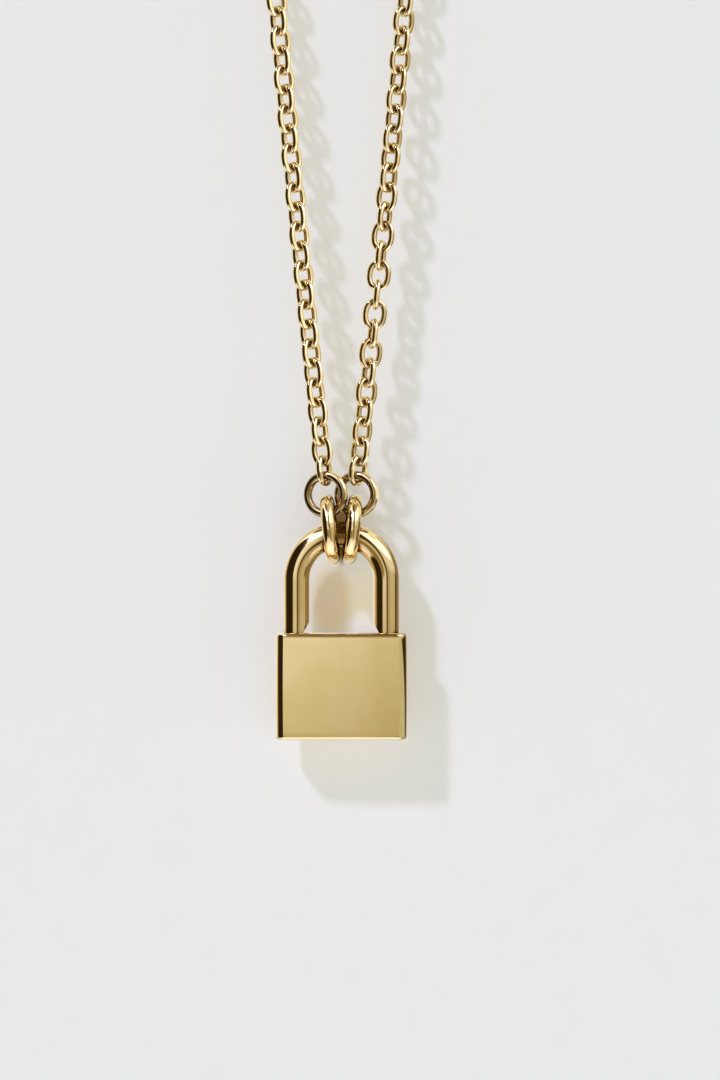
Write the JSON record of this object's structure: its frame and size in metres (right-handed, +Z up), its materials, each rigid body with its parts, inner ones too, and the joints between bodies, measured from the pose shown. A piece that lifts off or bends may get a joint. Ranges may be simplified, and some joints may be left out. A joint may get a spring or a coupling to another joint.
{
  "type": "padlock pendant necklace",
  "caption": "Cable chain necklace whose two strands hold a small flat padlock pendant by jump rings round its shackle, closed by a clasp.",
  "frame": {"origin": "where the necklace hangs: the middle of the top of the loop, level with the underside of the clasp", "axes": "+Z up, -Y the front of the padlock, +X to the right seen from the front"},
  "size_m": [0.0364, 0.007, 0.2375],
  "materials": {
    "polished_gold_body": "mirror polished gold plate",
    "polished_gold_wire": "mirror polished gold plate",
    "gold_chain": "polished gold plate"
  },
  "bodies": {
    "necklace": {"pendant_ring_left": "polished_gold_wire", "pendant_ring_right": "polished_gold_wire", "chain_ring_left": "polished_gold_wire", "chain_ring_right": "polished_gold_wire", "chain_left": "gold_chain", "chain_right": "gold_chain", "clasp_ring_left": "polished_gold_wire", "clasp_ring_right": "polished_gold_wire", "clasp": "polished_gold_wire"},
    "pendant": {"lock_body": "polished_gold_body", "shackle": "polished_gold_wire"}
  },
  "joints": [
    {"name": "pendant_swing", "type": "hinge", "parent": "necklace", "child": "pendant", "pos_m": [0, 0, -0.21246], "axis": [1, 0, 0], "range_deg": [-90, 90]}
  ]
}
